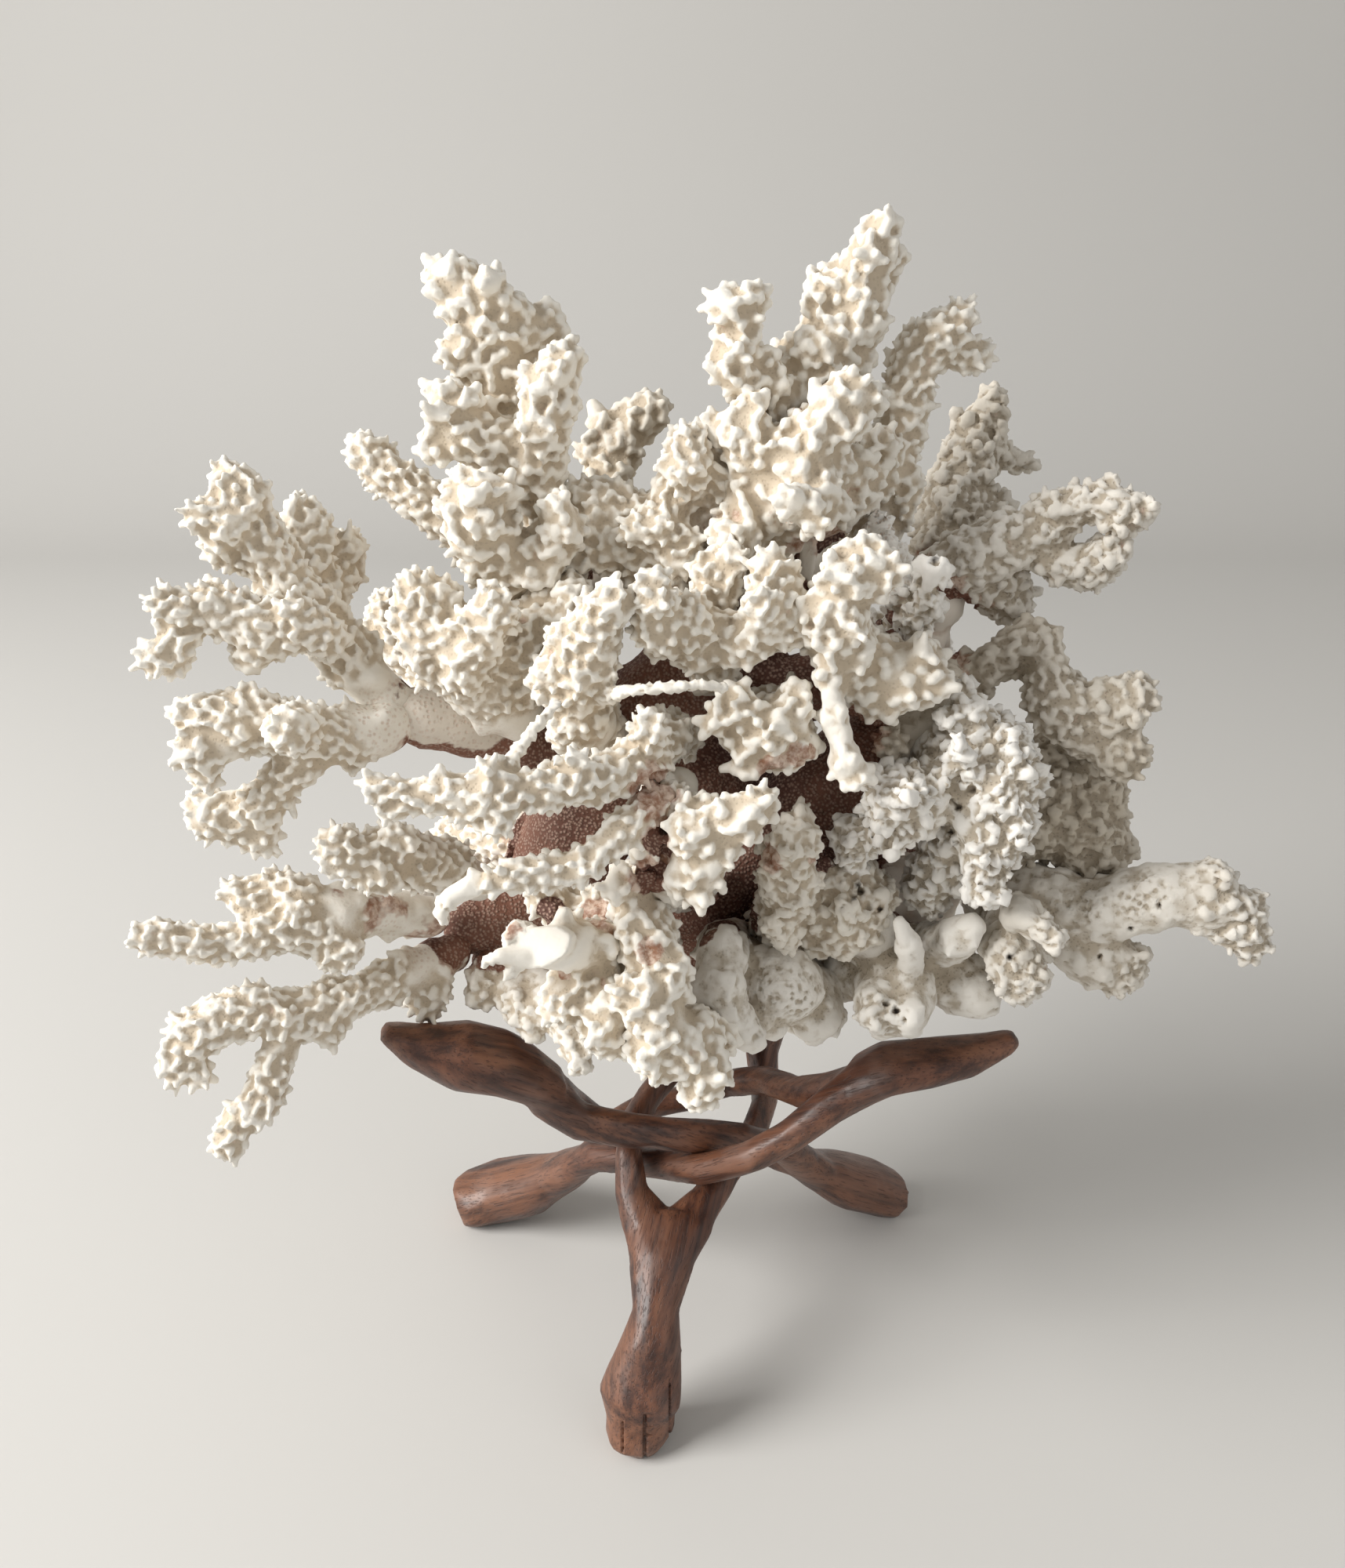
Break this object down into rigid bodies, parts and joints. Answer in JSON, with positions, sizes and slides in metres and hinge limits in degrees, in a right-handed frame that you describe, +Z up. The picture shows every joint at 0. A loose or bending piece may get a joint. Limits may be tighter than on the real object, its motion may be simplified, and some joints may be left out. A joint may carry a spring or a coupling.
{
  "type": "branching coral on a wooden stand",
  "caption": "Spreading branching coral resting on a low stand of three interlocked carved wooden legs.",
  "frame": {"origin": "on the floor, under the centre of the whole object's bounding box", "axes": "+Z up, +X to the viewer's right and +Y away from the viewer, the widest spread of the coral lying along X"},
  "size_m": [0.292, 0.1643, 0.3304],
  "materials": {
    "pale_coral": "matt creamy skeleton covered in small peg-like knobs, reddish between them",
    "eroded_coral": "matt worn skeleton, chalky white to grey-beige, smooth or pitted",
    "granular_brown": "matt fine-grained reddish-brown skeleton",
    "carved_wood": "hand-carved reddish-brown hardwood with a satin polish"
  },
  "bodies": {
    "root": {"coral_branch_back_high_left": "pale_coral", "coral_branch_back_high_middle": "pale_coral", "coral_branch_back_high_right": "eroded_coral", "coral_branch_back_left": "pale_coral", "coral_branch_back_left_low": "pale_coral", "coral_branch_back_low": "pale_coral", "coral_branch_back_middle": "pale_coral", "coral_branch_back_right": "eroded_coral", "coral_branch_back_right_low": "eroded_coral", "coral_branch_front_column": "pale_coral", "coral_branch_front_crown": "pale_coral", "coral_branch_front_cup": "pale_coral", "coral_branch_front_long": "pale_coral", "coral_branch_front_low_long": "pale_coral", "coral_branch_front_middle": "pale_coral", "coral_branch_front_post": "pale_coral", "coral_branch_left_bottom": "pale_coral", "coral_branch_left_cluster": "pale_coral", "coral_branch_left_high": "pale_coral", "coral_branch_left_inner": "pale_coral", "coral_branch_left_low": "pale_coral", "coral_branch_left_middle": "pale_coral", "coral_branch_left_outer": "pale_coral", "coral_branch_low_front": "pale_coral", "coral_branch_low_left": "pale_coral", "coral_branch_low_middle": "pale_coral", "coral_branch_low_right": "eroded_coral", "coral_branch_right_back": "eroded_coral", "coral_branch_right_cluster": "eroded_coral", "coral_branch_right_front": "eroded_coral", "coral_branch_right_high": "eroded_coral", "coral_branch_right_low": "eroded_coral", "coral_branch_right_middle": "eroded_coral", "coral_branch_right_side": "eroded_coral", "coral_branch_right_top": "eroded_coral", "coral_branch_ring_stem": "pale_coral", "coral_branch_stub": "pale_coral", "coral_branch_top_back": "pale_coral", "coral_branch_top_left": "pale_coral", "coral_branch_top_left_front": "pale_coral", "coral_branch_top_left_outer": "pale_coral", "coral_branch_top_middle": "pale_coral", "coral_branch_top_right": "eroded_coral", "coral_branch_top_right_front": "eroded_coral", "coral_trunk": "granular_brown", "stand_leg_front": "carved_wood", "stand_leg_left": "carved_wood", "stand_leg_right": "carved_wood"}
  },
  "joints": []
}
